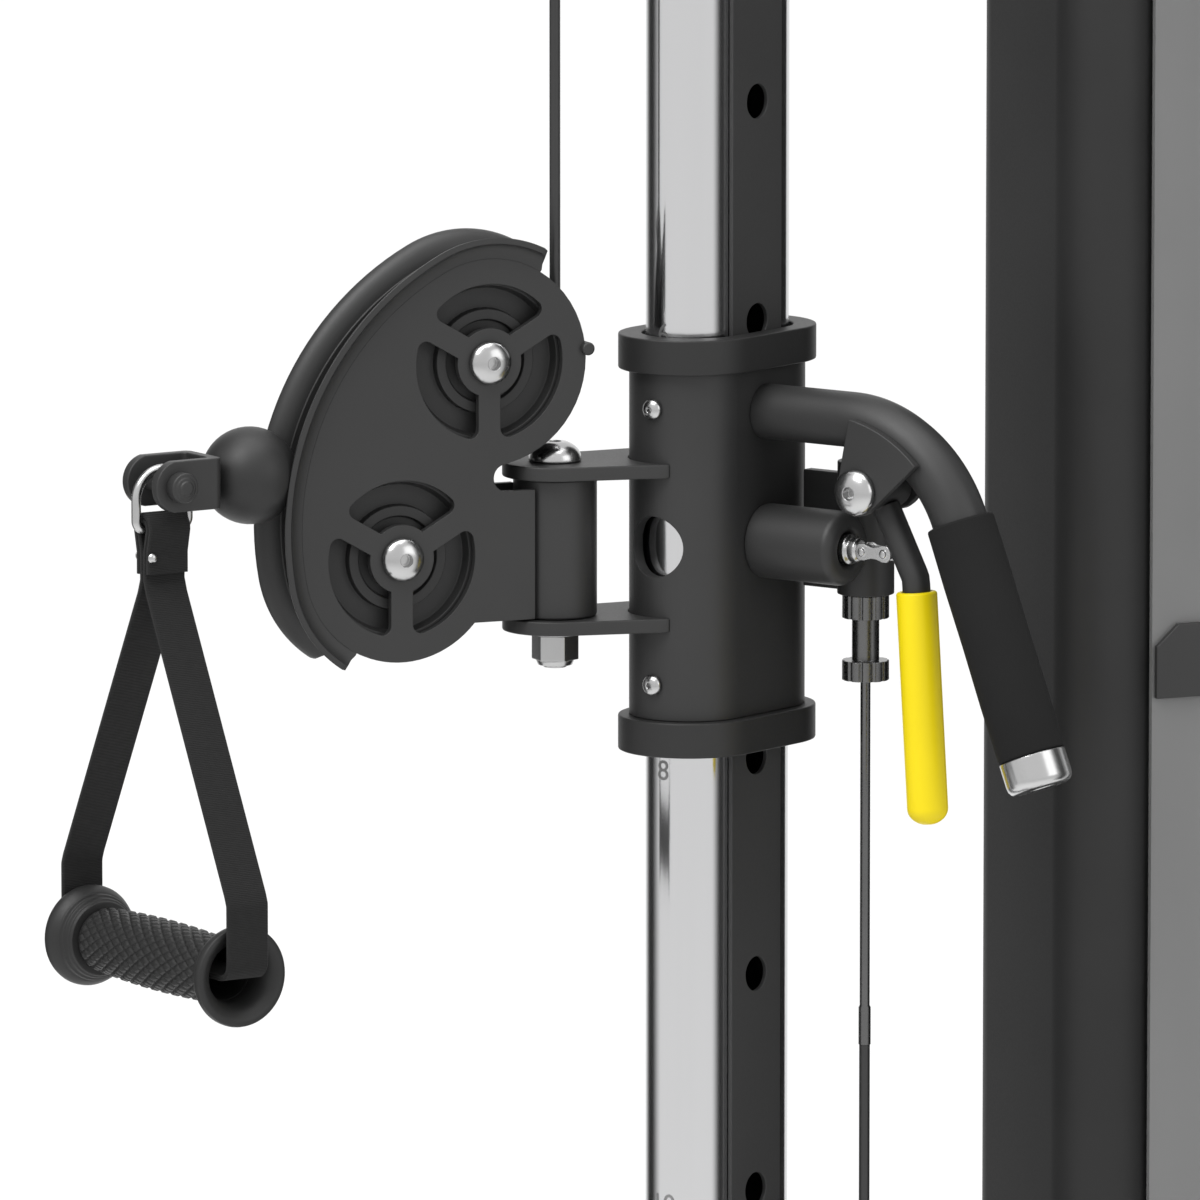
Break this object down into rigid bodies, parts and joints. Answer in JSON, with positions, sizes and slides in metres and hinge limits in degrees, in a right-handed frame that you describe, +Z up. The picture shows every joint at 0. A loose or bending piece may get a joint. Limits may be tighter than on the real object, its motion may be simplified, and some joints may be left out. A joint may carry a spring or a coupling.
{
  "type": "cable crossover machine",
  "caption": "Free-standing cable station with a chrome column, height-adjustable swivelling pulley head, hand grip, weight stack and smoked side panels.",
  "frame": {"origin": "on the floor under the middle of the base", "axes": "+Z up, -Y the front where the user stands, +X the user's right when they face the tower"},
  "size_m": [0.6, 0.86, 2.26],
  "materials": {
    "black_coat": "textured powder coat",
    "chrome": "polished",
    "black_strip": "satin",
    "smoked_panel": "smoked gloss",
    "black_plastic": "satin",
    "black_foam": "matt",
    "bright_steel": "satin",
    "yellow_plastic": "satin",
    "cable_jacket": "satin",
    "webbing": "woven",
    "grey_iron": "painted"
  },
  "bodies": {
    "tower": {"base_frame": "black_coat", "column": "chrome", "hole_strip": "black_strip", "post": "black_coat", "rear_post": "black_coat", "top_beam": "black_coat", "shroud_right": "smoked_panel", "shroud_left": "smoked_panel", "cross_bracket": "black_coat", "top_cable": "cable_jacket", "rear_cable": "cable_jacket", "stack_base": "black_coat", "resting_plates": "grey_iron", "guide_rod_left": "chrome", "guide_rod_right": "chrome", "front_cable": "cable_jacket", "anchor_cable": "cable_jacket", "stack_cable": "cable_jacket"},
    "top_front_wheel": {"top_front_pulley": "black_plastic"},
    "top_middle_wheel": {"top_middle_pulley": "black_plastic"},
    "top_rear_wheel": {"top_rear_pulley": "black_plastic"},
    "low_front_wheel": {"low_front_pulley": "black_plastic"},
    "low_rear_wheel": {"low_rear_pulley": "black_plastic"},
    "stack": {"lifted_plates": "grey_iron", "floating_yoke": "black_coat"},
    "floating_wheel": {"floating_pulley": "black_plastic"},
    "selector": {"selector_pin": "yellow_plastic"},
    "carriage": {"carriage_sleeve": "black_coat", "upper_collar": "black_plastic", "lower_collar": "black_plastic", "hinge_bracket_upper": "black_coat", "hinge_bracket_lower": "black_coat", "pivot_bolt": "bright_steel", "handle_tube": "black_coat", "handle_foam": "black_foam", "handle_end_cap": "bright_steel", "lever_gusset_front": "black_coat", "lever_gusset_rear": "black_coat", "lever_bolt": "bright_steel", "plunger_housing": "black_coat", "anchor_lug": "black_coat", "anchor_fitting": "bright_steel"},
    "lever": {"release_lever": "black_coat", "lever_sleeve": "yellow_plastic"},
    "plunger": {"plunger_pin": "bright_steel"},
    "head": {"cheek_left": "black_coat", "cheek_right": "black_coat", "head_barrel": "black_coat", "head_upper_bolt": "bright_steel", "head_lower_bolt": "bright_steel", "head_cable": "cable_jacket", "ball_stop": "black_plastic"},
    "head_upper_wheel": {"head_upper_pulley": "black_plastic"},
    "head_lower_wheel": {"head_lower_pulley": "black_plastic"},
    "clevis": {"clevis": "black_coat"},
    "handle": {"d_ring": "bright_steel", "strap": "webbing"},
    "grip": {"grip": "black_plastic", "grip_cap_left": "black_plastic", "grip_cap_right": "black_plastic"}
  },
  "joints": [
    {"name": "carriage_slide", "type": "slide", "parent": "tower", "child": "carriage", "axis": [0, 0, 1], "range_m": [-1.1, 0.5], "deforming": ["front_cable", "anchor_cable"]},
    {"name": "head_swivel", "type": "hinge", "parent": "carriage", "child": "head", "pos_m": [0, -0.17, 1.4], "axis": [0, 0, 1], "range_deg": [-90, 90]},
    {"name": "head_upper_spin", "type": "hinge", "parent": "head", "child": "head_upper_wheel", "pos_m": [0, -0.208, 1.487], "axis": [1, 0, 0], "continuous": true},
    {"name": "head_lower_spin", "type": "hinge", "parent": "head", "child": "head_lower_wheel", "pos_m": [0, -0.2507, 1.4], "axis": [1, 0, 0], "continuous": true},
    {"name": "clevis_swivel", "type": "hinge", "parent": "head", "child": "clevis", "pos_m": [0, -0.3186, 1.44], "axis": [0.1736, -0.9848, 0], "continuous": true},
    {"name": "handle_swing", "type": "hinge", "parent": "clevis", "child": "handle", "pos_m": [0.00799, -0.3639, 1.44], "axis": [0.9848, 0.1736, 0], "range_deg": [-80, 10]},
    {"name": "grip_spin", "type": "hinge", "parent": "handle", "child": "grip", "pos_m": [0.00799, -0.3639, 1.2259], "axis": [0.9848, 0.1736, 0], "continuous": true},
    {"name": "lever_pivot", "type": "hinge", "parent": "carriage", "child": "lever", "pos_m": [0.07838, -0.04475, 1.4292], "axis": [0.5, -0.866, 0], "range_deg": [0, 11], "stiffness_Nm_per_rad": 2, "springref_deg": -5.73},
    {"name": "plunger_slide", "type": "slide", "parent": "carriage", "child": "plunger", "axis": [0.866, 0.5, 0], "range_m": [0, 0.006]},
    {"name": "stack_lift", "type": "slide", "parent": "tower", "child": "stack", "axis": [0, 0, 1], "range_m": [0, 0.95], "deforming": ["stack_cable"]},
    {"name": "selector_slide", "type": "slide", "parent": "stack", "child": "selector", "axis": [-1, 0, 0], "range_m": [0, 0.06]},
    {"name": "floating_spin", "type": "hinge", "parent": "stack", "child": "floating_wheel", "pos_m": [0, 0.235, 0.6606], "axis": [1, 0, 0], "continuous": true},
    {"name": "top_front_spin", "type": "hinge", "parent": "tower", "child": "top_front_wheel", "pos_m": [0, -0.132, 2.205], "axis": [1, 0, 0], "continuous": true},
    {"name": "top_middle_spin", "type": "hinge", "parent": "tower", "child": "top_middle_wheel", "pos_m": [0, 0.159, 2.205], "axis": [1, 0, 0], "continuous": true},
    {"name": "top_rear_spin", "type": "hinge", "parent": "tower", "child": "top_rear_wheel", "pos_m": [0, 0.311, 2.205], "axis": [1, 0, 0], "continuous": true},
    {"name": "low_front_spin", "type": "hinge", "parent": "tower", "child": "low_front_wheel", "pos_m": [0.03733, -0.00465, 0.045], "axis": [1, 0, 0], "continuous": true},
    {"name": "low_rear_spin", "type": "hinge", "parent": "tower", "child": "low_rear_wheel", "pos_m": [0.03733, 0.321, 0.045], "axis": [1, 0, 0], "continuous": true}
  ],
  "couplings": [
    {"joint": "head_upper_spin", "follows": "stack_lift", "rad_per_m": -52.632},
    {"joint": "top_front_spin", "follows": "stack_lift", "rad_per_m": 52.632},
    {"joint": "top_middle_spin", "follows": "stack_lift", "rad_per_m": 52.632},
    {"joint": "floating_spin", "follows": "stack_lift", "rad_per_m": -26.316},
    {"joint": "top_rear_spin", "follows": "carriage_slide", "rad_per_m": -26.316},
    {"joint": "low_rear_spin", "follows": "carriage_slide", "rad_per_m": -35.714},
    {"joint": "low_front_spin", "follows": "carriage_slide", "rad_per_m": -35.714},
    {"joint": "plunger_slide", "follows": "lever_pivot", "m_per_rad": 0.03}
  ]
}
